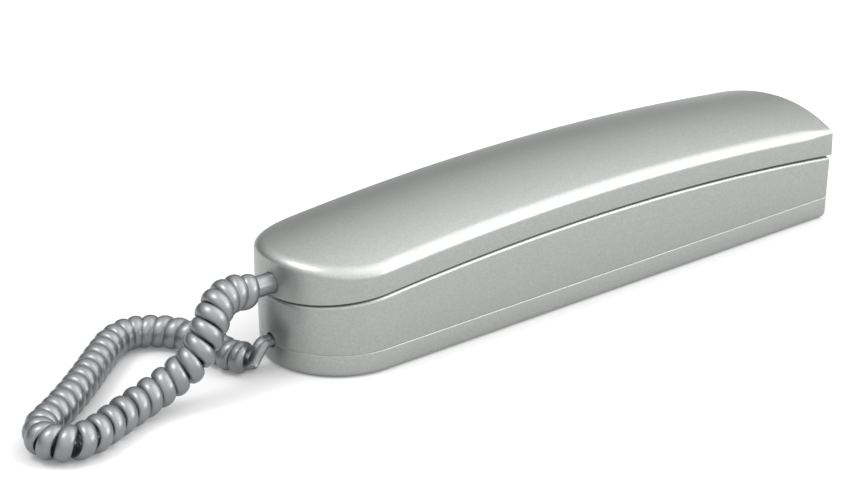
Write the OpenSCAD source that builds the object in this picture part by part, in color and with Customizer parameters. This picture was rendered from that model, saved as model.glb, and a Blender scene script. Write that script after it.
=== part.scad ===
// Slim wall intercom station lying on its back: a handset resting on its base, with a curly cord.
// Millimetres. X runs along the length with the cord end at -X, Y across, Z up from the wall face.

/* [Body] */
// Length of the handset over its ends
body_l = 200; // [190:1:220]
// Width of the handset
body_w = 46.4; // [44:0.2:54]
// Height of the split between handset and base, at the top of its arch
split_h = 26.65; // [26:0.05:30]
// Radius of the arch that the split follows along the length
arch_r = 870; // [800:10:1200]
// Distance of the arch's highest point from mid-length
arch_mid = -4; // [-8:0.5:8]
// Plan radius of the ear end
ear_end_r = 120; // [90:5:300]
// Gap that shows between handset and base
split_gap = 0.6; // [0.4:0.05:0.9]
// Thickness of the moulded walls
wall = 2.2; // [1.8:0.1:2.6]

/* [Handset] */
// Height of the handset's crown above the split, along the middle
handset_h = 12.4; // [12:0.1:15]
// Radius of the crown across the width
crown_r = 66; // [55:1:100]
// How far below the crown's edge the softened upper edge starts
edge_drop = 2; // [1.5:0.1:2.5]
// How far inwards the softened upper edge reaches
edge_in = 2.7; // [2:0.1:3.5]
// Thickness of the inner shell's plate
face_t = 2.2; // [1.8:0.1:2.6]
// Distance of the ear boss from the ear end
ear_from_end = 27; // [25:0.5:30]
// Diameter of the ear boss
ear_boss_d = 35; // [33:0.5:37]
// Distance of the mouth boss from the cord end
mouth_from_end = 27; // [24:0.5:32]
// Diameter of the mouth boss
mouth_boss_d = 22; // [20:0.5:26]
// How far both bosses stand out below the split
boss_drop = 2.8; // [2:0.1:3.2]
// Diameter of the earpiece
earpiece_d = 28; // [26:0.5:29]
// Height of the earpiece
earpiece_h = 5.2; // [4.6:0.1:5.6]
// Thickness of the foam ring in front of the earpiece
gasket_t = 0.8; // [0.6:0.1:1.2]
// Diameter of the microphone capsule
capsule_d = 9.7; // [9:0.1:10.5]
// Height of the microphone capsule
capsule_h = 4.5; // [4:0.1:5]
// Wall of the capsule's rubber boot
boot_t = 1.2; // [1:0.1:1.6]
// Length of the steel weight
weight_l = 34; // [26:1:40]
// Width of the steel weight
weight_w = 20; // [14:1:22]
// Height of the steel weight
weight_h = 4; // [3:0.5:5]
// Distance of each handset screw from the boss beside it
handset_screw_from_boss = 23; // [22:0.5:26]

/* [Base] */
// How far the base's upper edge stands back from the handset
base_inset = 0.45; // [0.3:0.05:0.8]
// Lean of the base's sides for each unit of height
base_draft = 0.027; // [0.01:0.001:0.04]
// Height of the back plate's rim
seam_h = 7; // [6:0.1:8]
// Thickness of the back plate's floor
floor_t = 2.5; // [2:0.1:3]
// Radius of the back plate's lower edge
foot_r = 2; // [1:0.1:2.2]
// Clearance round a boss in its cup
cup_gap = 1.5; // [1:0.1:2]
// Clearance under a boss in its cup
cup_floor_gap = 0.6; // [0.4:0.1:0.9]
// Distance of each wall screw hole from its end
wall_hole_from_end = 33; // [31:0.5:35]
// Diameter of the wall screw holes
wall_hole_d = 4.2; // [3.5:0.1:5]
// Distance of the cable entry slot from the ear end
entry_from_end = 20; // [18:0.5:21]
// Length of the cable entry slot
entry_l = 16; // [12:1:20]
// Width of the cable entry slot
entry_w = 9; // [7:0.5:10]
// Height of the circuit board's underside
board_z = 8.5; // [8:0.1:9]
// Length of the circuit board
board_l = 104; // [100:1:106]
// Width of the circuit board
board_w = 32; // [30:0.5:34]
// Thickness of the circuit board
board_t = 1.6; // [1:0.1:2]

/* [Controls] */
// Place of the hook plunger along the length
hook_x = 30; // [28:0.5:32]
// Diameter of the hook plunger's stem
hook_d = 6; // [5:0.1:6.5]
// Travel of the hook plunger
hook_travel = 4; // [3:0.1:4.5]
// Place of the door button along the length
button_x = -4; // [-6:0.5:-2]
// Diameter of the door button's cap
button_d = 12; // [10:0.5:13]
// Travel of the door button
button_travel = 1.5; // [1:0.1:1.8]
// Radial clearance of a sliding stem in its guide
slide_fit = 0.06; // [0.04:0.01:0.1]
// Clearance of a piece in its seat
seat_fit = 0.15; // [0.1:0.01:0.2]

/* [Cord] */
// Diameter of the cord's wire
wire_d = 3; // [2.4:0.1:3.1]
// Outer diameter of the tube that stands for the curls, at the handset
curl_d_handset = 10.4; // [9.5:0.1:10.6]
// Outer diameter of the tube that stands for the curls, at the base
curl_d_base = 8.8; // [8:0.1:9.2]
// Diameter of the handset's strain relief
sleeve_d = 6; // [5.4:0.1:6.2]
// Height of the cord's way out above the split, at the cord end
sleeve_rise = 4.25; // [4.15:0.05:4.4]
// How far the strain relief stands out of the handset
sleeve_out = 6; // [5.5:0.1:6.5]
// Height of the cord's way into the base
gland_z = 7.4; // [7.2:0.1:7.6]
// Place of the cord's way into the base across the width
gland_y = 2; // [1.5:0.1:2.5]

/* [Hidden] */
$fn = 64;

// Round-number reach used where a cutter has to pass a face
spare = 6;
// Steps of a rounded edge
edge_steps = 8;
half_w = body_w / 2;
end_x = -body_l / 2 + half_w;
ear_x = body_l / 2 - ear_from_end;
mouth_x = -body_l / 2 + mouth_from_end;
half_gap = split_gap / 2;
arch_span = 2 * asin((body_l / 2 + abs(arch_mid) + spare) / arch_r);
arch_fn = 360 / arch_span * 60;
deck_t = wall;
cup_depth = boss_drop + cup_floor_gap;

// Distances between the inner pieces along the length
cover_screw_from_boss = 18;
board_from_screw = 5;
terminal_from_end = 18;

// Places of the inner pieces along the length
cover_screw_x = mouth_x + cover_screw_from_boss;
handset_screw_places = [mouth_x + handset_screw_from_boss, ear_x - handset_screw_from_boss];
wall_hole_places = [wall_hole_from_end - body_l / 2, body_l / 2 - wall_hole_from_end];
board_mid_x = cover_screw_x + board_from_screw + board_l / 2;
terminal_x = board_mid_x - board_l / 2 + terminal_from_end;
sounder_x = (hook_x + button_x) / 2;
weight_x = -15;

// Small standard parts
handset_screw_d = 2.2;
handset_screw_head_d = 4.4;
handset_screw_head_h = 1.6;
handset_post_d = 6;
cover_screw_d = 3;
cover_screw_head_d = 5.6;
cover_screw_head_h = 1.8;
cover_post_d = 7.5;
cover_post_z = 12;
cover_screw_bite = 6;
board_screw_d = 2.5;
board_screw_head_d = 5;
board_screw_head_h = 1.5;
board_post_d = 6;
board_screw_inset = 5;
board_screw_l = 6;
sounder_d = 20;
sounder_h = 7;
terminal_l = 20;
terminal_w = 11;
terminal_h = 9;
terminal_ways = 4;
terminal_screw_d = 3;
hook_switch_l = 12.8;
hook_switch_w = 6;
door_switch_l = 6;
door_switch_h = 3.5;
hook_flange_d = 9.4;
hook_flange_t = 1.2;
guide_t = 1.4;
hook_guide_l = 3.4;
spring_wall = 0.5;
button_skirt_d = 15;
button_skirt_t = 1.2;
sound_hole_d = 1.8;
sleeve_flange_d = 7;
sleeve_flange_t = 1.2;
flange_gap = 0.7;
gland_d = 4.2;
gland_flange_d = 7;
gland_flange_t = 1.4;
gland_back = 2;
hole_fit = 0.1;
// Clearances: thread in its post, screw in a plate, head in its seat, and a moving piece before it stops
thread_fit = 0.1;
screw_fit = 0.4;
head_fit = 0.6;
stop_gap = 0.5;
head_sink = 0.4;
rest_gap = 0.2;
seam_step = 0.1;
slot_w = 0.6;
handset_screw_l = 7;
door_spring_d = 5.6;
door_stem_d = 3.4;
capacitor_d = 5;
capacitor_h = 6.5;
capacitor_inset = 3.2;
chip_l = 5;
chip_w = 8;
chip_h = 1.6;
resistor_d = 1.8;
resistor_l = 5;
resistor_pitch = 3;
resistors = 4;
// Room between neighbours on the board
part_gap = 1;
trimmer_l = 6;
trimmer_h = 4;
terminal_hole = 3.2;
terminal_depth = 4;
sounder_hole_d = 3;
boot_hole_d = 3;
gasket_ring = 3;
ear_hole_pitch = 4.2;
mouth_hole_pitch = 3;

// Route of the cord's middle line: x, y, z
cord_route = [
    [-106, 0, 25.6], [-109, 0, 25.6], [-115, -0.6, 26], [-119.6, -2.2, 24.6], [-123.2, -4, 21.2],
    [-126.4, -5, 17.2], [-130.5, -5.2, 12.6], [-136.5, -4, 8.6], [-143.5, -4, 6.2],
    [-151.5, -6.2, 5.4], [-160, -9.8, 5.4], [-166.8, -12.4, 5.4], [-173.8, -12.4, 5.4],
    [-177.8, -6.6, 5.4], [-174.6, -0.2, 5.4], [-167, 5, 5.2], [-157, 12, 5.2], [-147.5, 19.5, 5.1],
    [-138.5, 27, 5], [-130.5, 33, 4.9], [-123.5, 35, 4.8], [-117, 32, 4.7], [-112.8, 26.5, 4.6],
    [-110.6, 20, 4.6], [-109.8, 13, 4.6], [-109.8, 6.5, 4.6], [-107.8, 1.2, 5.2], [-101.2, 2, 7.4],
    [-98, 2, 7.4]];
// Rings of a leg, sides of the tube, and legs of plain wire at the handset and at the base
leg_rings = 2;
cord_sides = 12;
plain_legs_handset = 1;
plain_legs_base = 2;
route_last = len(cord_route) - 2;
// Smooth curve through the route's points, straight in its first and last legs
function route_at(k, t) =
    let(b = cord_route[k], c = cord_route[k + 1])
    k == 0 || k == route_last ? b + (c - b) * t :
    let(a = cord_route[k - 1], d = cord_route[k + 2])
    (2 * b + (c - a) * t + (2 * a - 5 * b + 4 * c - d) * t * t + (3 * b - a - 3 * c + d) * t * t * t) / 2;
function unit(v) = v / norm(v);
function ease(t) = let(s = min(max(t, 0), 1)) s * s * (3 - 2 * s);
cord_centre = concat([for (k = [0:route_last], i = [0:leg_rings - 1]) route_at(k, i / leg_rings)],
    [cord_route[route_last + 1]]);
cord_last = len(cord_centre) - 1;
function run(i) = unit(cord_centre[min(i + 1, cord_last)] - cord_centre[max(i - 1, 0)]);
// Share of the curls' width at a ring: none along the plain wire, all of it a leg further on
function opened(i) = ease(i / leg_rings - plain_legs_handset)
    * ease((cord_last - i) / leg_rings - plain_legs_base);
function cord_d(i) = wire_d
    + (curl_d_handset + (curl_d_base - curl_d_handset) * i / cord_last - wire_d) * opened(i);
cord_points = [for (i = [0:cord_last]) let(t = run(i), u = unit(cross(t, [0, 0, 1])), v = cross(t, u))
    for (j = [0:cord_sides - 1]) let(a = j * 360 / cord_sides)
        cord_centre[i] + (u * cos(a) + v * sin(a)) * cord_d(i) / 2];
cord_faces = concat(
    [[for (j = [cord_sides - 1:-1:0]) j]],
    [for (i = [0:cord_last - 1], j = [0:cord_sides - 1])
        let(a = i * cord_sides + j, b = i * cord_sides + (j + 1) % cord_sides)
        each [[a, b, b + cord_sides], [a, b + cord_sides, a + cord_sides]]],
    [[for (j = [0:cord_sides - 1]) cord_last * cord_sides + j]]);

// Height of the split line's arch above or below it by h, at a place along the length
function arch_z(x, h = 0) =
    split_h - arch_r + sqrt(pow(arch_r + h, 2) - pow(x - arch_mid, 2));
sleeve_z = arch_z(-body_l / 2) + sleeve_rise;
// Half width of the base at a height
function base_half(z) = half_w - base_inset - base_draft * (split_h - z);

// Rounded profile points: an arc about a centre, from one angle to another
function arc(cx, cy, r, a0, a1) =
    [for (i = [0:edge_steps]) let(a = a0 + (a1 - a0) * i / edge_steps) [cx + r * cos(a), cy + r * sin(a)]];

// Places its children on the split's arch, with their own Z square to it
module on_arch(x) {
    translate([arch_mid, 0, split_h - arch_r])
        rotate([0, asin((x - arch_mid) / arch_r), 0])
            translate([0, 0, arch_r]) children();
}

// Body with straight sides and one round end, from half of its profile: points of half width and height
module round_ended(half, far_x, end_half = []) {
    mirrored = [for (i = [len(half) - 1:-1:0]) [-half[i][0], half[i][1]]];
    turned = len(end_half) > 0 ? end_half : half;
    translate([end_x, 0, 0]) {
        rotate([90, 0, 90]) linear_extrude(far_x - end_x) polygon(concat(half, mirrored));
        rotate([0, 0, 90]) rotate_extrude(angle = 180, $fn = 128)
            polygon(concat([[0, turned[0][1]]], turned, [[0, turned[len(turned) - 1][1]]]));
    }
}

// Upright cylinder whose wall is the bowed ear end
module ear_end(inset) {
    translate([body_l / 2 - ear_end_r, 0, -spare])
        cylinder(r = ear_end_r - inset, h = split_h + handset_h + 3 * spare, $fn = 360);
}

// Section swept along the arch: points of height above the split and place across
module arch_sweep(points) {
    translate([arch_mid, 0, split_h - arch_r])
        rotate([-90, 0, 0]) rotate([0, 0, -90 - arch_span / 2])
            rotate_extrude(angle = arch_span, $fn = arch_fn)
                polygon([for (p = points) [arch_r + p[0], p[1]]]);
}

// Height of the crown above the split, at a place across the width
function crown_z(y) = handset_h - crown_r + sqrt(crown_r * crown_r - y * y);
// Ends of the arc that softens the upper edge, on the wall and on the crown, as height and place across
edge_low = [crown_z(half_w) - edge_drop, half_w];
edge_high = [crown_z(half_w - edge_in), half_w - edge_in];
edge_mid = (edge_high * edge_high - edge_low * edge_low) / (edge_high[0] - edge_low[0]) / 2;
edge_r = norm(edge_low - [edge_mid, 0]);

// Crowned bar along the arch, drawn in from its outside, from a lower height upwards
module crowned_bar(inset, low, softened) {
    translate([arch_mid, 0, split_h - arch_r])
        rotate([-90, 0, 0]) rotate([0, 0, -90 - arch_span / 2])
            rotate_extrude(angle = arch_span, $fn = arch_fn) intersection() {
                translate([arch_r + low, -body_w]) square([handset_h - low + spare, 2 * body_w]);
                translate([arch_r + handset_h - crown_r, 0]) circle(crown_r - inset, $fn = 360);
                if (softened) translate([arch_r + edge_mid, 0]) circle(edge_r, $fn = 360);
            }
}

// Handset's full shape, drawn in from its outside
module handset_solid(inset, low, softened = false) {
    w = half_w - inset;
    high = split_h + handset_h + spare;
    base = arch_z(-body_l / 2) - spare;
    tip = arch_z(-body_l / 2) + handset_h - (softened ? edge_drop : -spare);
    intersection() {
        round_ended([[w, base], [w, high + spare]], body_l / 2 + spare,
            [[w, base], [w, tip], [w - (high - tip), high]]);
        crowned_bar(inset, low, softened);
        ear_end(inset);
    }
}

// Base's full shape from a foot height up to the arch less a depth
module base_solid(inset, low, depth) {
    high = split_h + spare;
    intersection() {
        round_ended([[base_half(low) - inset, low], [base_half(high) - inset, high]], body_l / 2 + spare);
        arch_sweep([
            [-split_h - spare, -body_w], [-split_h - spare, body_w], [-depth, body_w], [-depth, -body_w]]);
        ear_end(base_inset + base_draft * split_h / 2 + inset);
    }
}

// Slot shape along X with round ends
module slot(l, w, h) {
    for (s = [-1, 1]) translate([s * (l - w) / 2, 0, 0]) cylinder(d = w, h = h);
    translate([-(l - w) / 2, -w / 2, 0]) cube([l - w, w, h]);
}

// Self-tapping screw with its head upwards, its shank's top at the origin
module screw(d, l, head_d, head_h) {
    translate([0, 0, -l]) cylinder(d = d, h = l);
    difference() {
        cylinder(d = head_d, h = head_h);
        translate([-head_d / 2, -slot_w / 2, head_h - slot_w]) cube([head_d, slot_w, head_h]);
    }
}

// Places of the board screws
board_screw_places = [for (sx = [-1, 1], sy = [-1, 1])
    [board_mid_x + sx * (board_l / 2 - board_screw_inset), sy * (board_w / 2 - board_screw_inset)]];
board_top = board_z + board_t;
hook_top = arch_z(hook_x, -half_gap);
hook_flange_top = hook_top - deck_t - hook_guide_l - hook_travel - stop_gap;
hook_foot = hook_flange_top - hook_flange_t;
button_top = arch_z(button_x, -half_gap);
button_foot = button_top - deck_t - stop_gap - button_skirt_t;

module back_plate() color("darkgray") {
    lip = base_half(seam_h) - seam_step;
    foot = base_half(0);
    difference() {
        union() {
            difference() {
                intersection() {
                    round_ended(concat([[foot - foot_r, 0]],
                        [for (p = arc(foot - foot_r, foot_r, foot_r, -90, 0)) if (p[1] > 0) p],
                        [[lip, seam_h]]), body_l / 2 + spare);
                    ear_end(base_inset + base_draft * split_h / 2 + seam_step);
                }
                intersection() {
                    round_ended([[lip - wall, floor_t], [lip - wall, seam_h + spare]], body_l / 2 + spare);
                    ear_end(base_inset + base_draft * split_h / 2 + wall);
                }
            }
            for (p = board_screw_places) translate([p[0], p[1], floor_t / 2])
                cylinder(d = board_post_d, h = board_z - floor_t / 2);
            translate([cover_screw_x, 0, floor_t / 2])
                cylinder(d = cover_post_d, h = cover_post_z - floor_t / 2);
        }
        for (p = board_screw_places) translate([p[0], p[1], floor_t])
            cylinder(d = board_screw_d + thread_fit, h = board_z);
        translate([cover_screw_x, 0, floor_t]) cylinder(d = cover_screw_d + thread_fit, h = cover_post_z);
        for (x = wall_hole_places) translate([x, 0, -1])
            cylinder(d = wall_hole_d, h = floor_t + 2);
        translate([body_l / 2 - entry_from_end, 0, -1]) slot(entry_l, entry_w, floor_t + 2);
        cord_way_in();
    }
}

// Hole for the cord's gland at the cord end
module cord_way_in() {
    translate([-body_l / 2 - spare, gland_y, gland_z]) rotate([0, 90, 0])
        cylinder(d = gland_d + 2 * hole_fit, h = spare + base_inset + wall + 3);
}

module base_cover() color("silver") {
    difference() {
        union() {
            difference() {
                base_solid(0, seam_h, half_gap);
                base_solid(wall, seam_h - spare, half_gap + deck_t);
            }
            intersection() {
                base_solid(wall / 2, seam_h, half_gap + deck_t / 2);
                union() {
                    boss_cup(ear_x, ear_boss_d, wall);
                    boss_cup(mouth_x, mouth_boss_d, wall);
                    translate([cover_screw_x, 0, cover_post_z]) cylinder(d = cover_post_d, h = split_h);
                    translate([hook_x, 0, hook_top - deck_t - hook_guide_l])
                        cylinder(d = hook_d + 2 * (slide_fit + guide_t), h = split_h);
                }
            }
        }
        boss_cup(ear_x, ear_boss_d, 0);
        boss_cup(mouth_x, mouth_boss_d, 0);
        translate([cover_screw_x, 0, cover_post_z - 1]) cylinder(d = cover_screw_d + screw_fit, h = split_h);
        translate([cover_screw_x, 0, cover_head_z()])
            cylinder(d = cover_screw_head_d + head_fit, h = split_h);
        translate([hook_x, 0, 0]) cylinder(d = hook_d + 2 * slide_fit, h = split_h + spare);
        translate([button_x, 0, 0]) cylinder(d = button_d + 2 * slide_fit, h = split_h + spare);
        cord_way_in();
    }
}

// Seat of the cover screw's head in the deck
function cover_head_z() = arch_z(cover_screw_x, -half_gap) - cover_screw_head_h - head_sink;

// Room of a boss in the deck, or the pot around it
module boss_cup(x, d, grow) {
    on_arch(x) translate([0, 0, -cup_depth - grow])
        cylinder(d = d + 2 * (cup_gap + grow), h = cup_depth + grow + spare, $fn = 96);
}

module circuit_board() color("darkgreen") {
    difference() {
        translate([board_mid_x - board_l / 2, -board_w / 2, board_z]) cube([board_l, board_w, board_t]);
        for (p = board_screw_places) translate([p[0], p[1], board_z - 1])
            cylinder(d = board_screw_d + screw_fit, h = board_t + 2);
    }
}

module board_components() color("dimgray") {
    // Two upright capacitors
    for (s = [-1, 1]) translate([sounder_x - 1, s * (board_w / 2 - capacitor_inset), board_top])
        cylinder(d = capacitor_d, h = capacitor_h);
    // A small integrated circuit
    translate([terminal_x + terminal_l / 2 + 3 * part_gap, -terminal_w / 2 - chip_w, board_top])
        cube([chip_l, chip_w, chip_h]);
    // A row of resistors
    for (i = [0:resistors - 1])
        translate([hook_x + (i - (resistors - 1) / 2) * resistor_pitch,
            hook_switch_w / 2 + resistor_l + part_gap, board_top + resistor_d / 2])
            rotate([90, 0, 0]) cylinder(d = resistor_d, h = resistor_l);
    // Level trimmer
    translate([hook_x + hook_switch_l / 2 + part_gap, -trimmer_l / 2, board_top])
        cube([trimmer_l, trimmer_l, trimmer_h]);
}

// Place of a terminal along the length
function terminal_way_x(i) = terminal_x + terminal_l * ((i + 0.5) / terminal_ways - 0.5);

module terminal_block() color("seagreen") {
    difference() {
        translate([terminal_x - terminal_l / 2, -terminal_w / 2, board_top])
            cube([terminal_l, terminal_w, terminal_h]);
        for (i = [0:terminal_ways - 1]) translate([terminal_way_x(i), 0, board_top]) {
            translate([0, 0, terminal_h - terminal_depth])
                cylinder(d = terminal_screw_d + screw_fit, h = terminal_depth + 1);
            translate([-terminal_hole / 2, -terminal_w / 2 - 1, 1])
                cube([terminal_hole, 1 + terminal_depth, terminal_hole]);
        }
    }
}

module terminal_screws() color("gainsboro") {
    h = terminal_depth - head_sink;
    for (i = [0:terminal_ways - 1])
        translate([terminal_way_x(i), 0, board_top + terminal_h - terminal_depth]) difference() {
            cylinder(d = terminal_screw_d, h = h);
            translate([-terminal_screw_d, -slot_w / 2, h - slot_w]) cube([2 * terminal_screw_d, slot_w, h]);
        }
}

module call_sounder() color("black") {
    translate([sounder_x, 0, board_top]) difference() {
        cylinder(d = sounder_d, h = sounder_h);
        translate([0, 0, sounder_h - 2]) cylinder(d = sounder_hole_d, h = 3);
    }
}

module hook_switch() color("dimgray") {
    translate([hook_x - hook_switch_l / 2, -hook_switch_w / 2, board_top]) difference() {
        cube([hook_switch_l, hook_switch_w, hook_foot - board_top - 1]);
        translate([hook_switch_l / 2, hook_switch_w / 2, hook_foot - board_top - 2]) cylinder(d = 2, h = 2);
    }
}

module door_switch() color("dimgray") {
    h = button_foot - button_travel - stop_gap / 2 - board_top;
    translate([button_x, 0, board_top]) {
        translate([-door_switch_l / 2, -door_switch_l / 2, 0])
            cube([door_switch_l, door_switch_l, door_switch_h]);
        cylinder(d = door_stem_d, h = h);
    }
}

module board_screws() color("gainsboro") {
    for (p = board_screw_places) translate([p[0], p[1], board_top])
        screw(board_screw_d, board_screw_l, board_screw_head_d, board_screw_head_h);
}

module cover_screw() color("gainsboro") {
    l = cover_head_z() - cover_post_z + cover_screw_bite;
    translate([cover_screw_x, 0, cover_head_z()])
        screw(cover_screw_d, l, cover_screw_head_d, cover_screw_head_h);
}

module base_cord_gland() color("gray") {
    face = -body_l / 2 + gland_back;
    seat = end_x - sqrt(pow(base_half(gland_z) - wall, 2) - pow(gland_y + gland_flange_d / 2, 2)) + hole_fit;
    translate([face, gland_y, gland_z]) rotate([0, 90, 0]) {
        cylinder(d = gland_d, h = seat - face);
        translate([0, 0, seat - face]) cylinder(d = gland_flange_d, h = gland_flange_t);
    }
}

module hook_plunger() color("gainsboro") {
    translate([hook_x, 0, hook_foot]) {
        cylinder(d = hook_d, h = hook_top - hook_foot - rest_gap);
        cylinder(d = hook_flange_d, h = hook_flange_t);
    }
}

module hook_spring() color("lightgray") {
    translate([hook_x, 0, hook_foot - 1]) difference() {
        cylinder(d = hook_d, h = 1);
        translate([0, 0, -1]) cylinder(d = hook_d - 2 * spring_wall, h = 3);
    }
}

module door_button() color("gainsboro") {
    translate([button_x, 0, button_foot]) {
        cylinder(d = button_d, h = button_top - button_foot - rest_gap / 2);
        cylinder(d = button_skirt_d, h = button_skirt_t);
    }
}

module door_spring() color("lightgray") {
    low = board_top + door_switch_h;
    translate([button_x, 0, low]) difference() {
        cylinder(d = door_spring_d, h = button_foot - low);
        translate([0, 0, -1]) cylinder(d = door_spring_d - 2 * spring_wall, h = button_foot);
    }
}

module handset_top_shell() color("silver") {
    difference() {
        union() {
            difference() {
                handset_solid(0, half_gap, true);
                handset_solid(wall, -spare);
            }
            intersection() {
                handset_solid(wall / 2, half_gap);
                for (x = handset_screw_places) on_arch(x) translate([0, 0, half_gap + face_t])
                    cylinder(d = handset_post_d, h = handset_h);
            }
        }
        for (x = handset_screw_places) on_arch(x)
            cylinder(d = handset_screw_d + thread_fit, h = handset_h - wall - screw_fit);
        sleeve_way_out();
    }
}

// Hole for the strain relief in the handset's cord end
module sleeve_way_out() {
    translate([-body_l / 2 - spare, 0, sleeve_z]) rotate([0, 90, 0])
        cylinder(d = sleeve_d + 2 * hole_fit, h = spare + wall + 2);
}

module handset_inner_shell() color("silver") {
    w = half_w - wall - seat_fit;
    back = half_gap + face_t;
    difference() {
        union() {
            intersection() {
                round_ended([[w, 0], [w, split_h + spare]], body_l / 2 + spare);
                arch_sweep([[half_gap, -body_w], [half_gap, body_w], [back, body_w], [back, -body_w]]);
                ear_end(wall + seat_fit);
            }
            boss(ear_x, ear_boss_d);
            boss(mouth_x, mouth_boss_d);
        }
        on_arch(ear_x) {
            translate([0, 0, -boss_drop + wall])
                cylinder(d = earpiece_d + 2 * seat_fit, h = spare + boss_drop);
            sound_holes(2, ear_hole_pitch);
        }
        on_arch(mouth_x) {
            translate([0, 0, -boss_drop + wall])
                cylinder(d = capsule_d + 2 * (boot_t + seat_fit), h = spare + boss_drop);
            sound_holes(1, mouth_hole_pitch);
        }
        translate([-body_l / 2, 0, sleeve_z]) rotate([0, 90, 0])
            cylinder(d = sleeve_flange_d + 2 * seat_fit, h = wall + flange_gap + sleeve_flange_t + seat_fit);
        for (x = handset_screw_places) on_arch(x) {
            cylinder(d = handset_screw_d + screw_fit, h = spare);
            translate([0, 0, -1])
                cylinder(d = handset_screw_head_d + head_fit, h = 1 + half_gap + handset_screw_head_h);
        }
    }
}

// Round boss of the inner shell
module boss(x, d) {
    on_arch(x) translate([0, 0, -boss_drop]) cylinder(d = d, h = boss_drop + half_gap + face_t, $fn = 96);
}

// Rings of sound holes about a centre hole
module sound_holes(rings, pitch) {
    translate([0, 0, -boss_drop - 1]) {
        cylinder(d = sound_hole_d, h = wall + 2);
        for (k = [1:rings], i = [0:6 * k - 1]) rotate(i * 60 / k) translate([k * pitch, 0, 0])
            cylinder(d = sound_hole_d, h = wall + 2);
    }
}

module earpiece() color("dimgray") {
    on_arch(ear_x) translate([0, 0, -boss_drop + wall + gasket_t]) {
        cylinder(d = earpiece_d, h = earpiece_h * 0.4);
        cylinder(d = earpiece_d * 0.5, h = earpiece_h);
    }
}

module earpiece_gasket() color("black") {
    on_arch(ear_x) translate([0, 0, -boss_drop + wall]) difference() {
        cylinder(d = earpiece_d, h = gasket_t);
        translate([0, 0, -1]) cylinder(d = earpiece_d - 2 * gasket_ring, h = gasket_t + 2);
    }
}

module microphone_boot() color("black") {
    on_arch(mouth_x) translate([0, 0, -boss_drop + wall]) difference() {
        cylinder(d = capsule_d + 2 * boot_t, h = capsule_h + boot_t);
        translate([0, 0, boot_t]) cylinder(d = capsule_d + hole_fit, h = capsule_h + 1);
        translate([0, 0, -1]) cylinder(d = boot_hole_d, h = boot_t + 2);
    }
}

module microphone_capsule() color("lightgray") {
    on_arch(mouth_x) translate([0, 0, -boss_drop + wall + boot_t]) cylinder(d = capsule_d, h = capsule_h);
}

module handset_weight() color("gray") {
    on_arch(weight_x) translate([-weight_l / 2, -weight_w / 2, half_gap + face_t])
        cube([weight_l, weight_w, weight_h]);
}

module handset_screws() color("gainsboro") {
    for (x = handset_screw_places) on_arch(x) translate([0, 0, half_gap + handset_screw_head_h])
        mirror([0, 0, 1])
            screw(handset_screw_d, handset_screw_l, handset_screw_head_d, handset_screw_head_h - hole_fit);
}

module handset_strain_relief() color("gray") {
    l = sleeve_out + wall + flange_gap;
    translate([-body_l / 2 - sleeve_out, 0, sleeve_z]) rotate([0, 90, 0]) {
        cylinder(d = sleeve_d, h = l);
        translate([0, 0, l]) cylinder(d = sleeve_flange_d, h = sleeve_flange_t);
    }
}

module curly_cord() color("gray") {
    polyhedron(cord_points, cord_faces, convexity = 20);
}

back_plate();
base_cover();
circuit_board();
board_components();
terminal_block();
terminal_screws();
call_sounder();
hook_switch();
door_switch();
board_screws();
cover_screw();
base_cord_gland();
curly_cord();
hook_plunger();
hook_spring();
door_button();
door_spring();
handset_top_shell();
handset_inner_shell();
earpiece();
earpiece_gasket();
microphone_capsule();
microphone_boot();
handset_weight();
handset_screws();
handset_strain_relief();
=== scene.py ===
"""Looks of a slim wall intercom station: a handset resting on its base, with a curly cord."""

import math

import bmesh
import bpy
import numpy as np
from mathutils import Matrix, Vector


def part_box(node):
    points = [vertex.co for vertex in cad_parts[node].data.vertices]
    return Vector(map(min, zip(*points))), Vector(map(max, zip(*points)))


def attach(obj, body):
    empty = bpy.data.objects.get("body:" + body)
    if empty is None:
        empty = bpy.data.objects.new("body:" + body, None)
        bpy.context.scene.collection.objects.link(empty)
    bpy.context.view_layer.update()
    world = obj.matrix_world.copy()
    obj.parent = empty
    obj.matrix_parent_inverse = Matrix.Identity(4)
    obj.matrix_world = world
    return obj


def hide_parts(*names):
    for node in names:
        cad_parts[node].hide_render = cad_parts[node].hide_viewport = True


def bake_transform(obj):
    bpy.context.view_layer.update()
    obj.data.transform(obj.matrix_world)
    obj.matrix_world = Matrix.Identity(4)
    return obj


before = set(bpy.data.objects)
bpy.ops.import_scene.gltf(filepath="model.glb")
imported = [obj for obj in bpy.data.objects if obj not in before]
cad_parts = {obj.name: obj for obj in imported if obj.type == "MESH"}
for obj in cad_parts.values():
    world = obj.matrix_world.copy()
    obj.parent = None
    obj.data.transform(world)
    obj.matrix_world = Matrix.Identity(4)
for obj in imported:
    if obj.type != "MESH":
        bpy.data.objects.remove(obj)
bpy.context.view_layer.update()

bl_info = {
    "name": "Wall Intercom Station",
    "version": (1, 0, 0),
    "blender": (4, 5, 0),
    "location": "3D View > Sidebar > Intercom",
    "description": "Builds the shells, the curly cord and the finishes of a wall intercom station",
    "category": "Object",
}

MM = 0.001


# Sizes and colours that a user would change

def length(name, description, millimetres):
    """A size in metres, given in millimetres."""
    return bpy.props.FloatProperty(
        name=name, description=description, default=millimetres * MM, unit="LENGTH", precision=5)


def angle(name, description, degrees):
    """An angle, given in degrees."""
    return bpy.props.FloatProperty(
        name=name, description=description, default=math.radians(degrees), subtype="ANGLE")


def number(name, description, value):
    """A plain number."""
    return bpy.props.FloatProperty(name=name, description=description, default=value)


def power(name, description, watts):
    """Power of a lamp."""
    return bpy.props.FloatProperty(name=name, description=description, default=watts, unit="POWER")


def tint(name, description, colour):
    """A linear colour."""
    return bpy.props.FloatVectorProperty(
        name=name, description=description, default=colour, size=3, subtype="COLOR", min=0, max=1)


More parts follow.
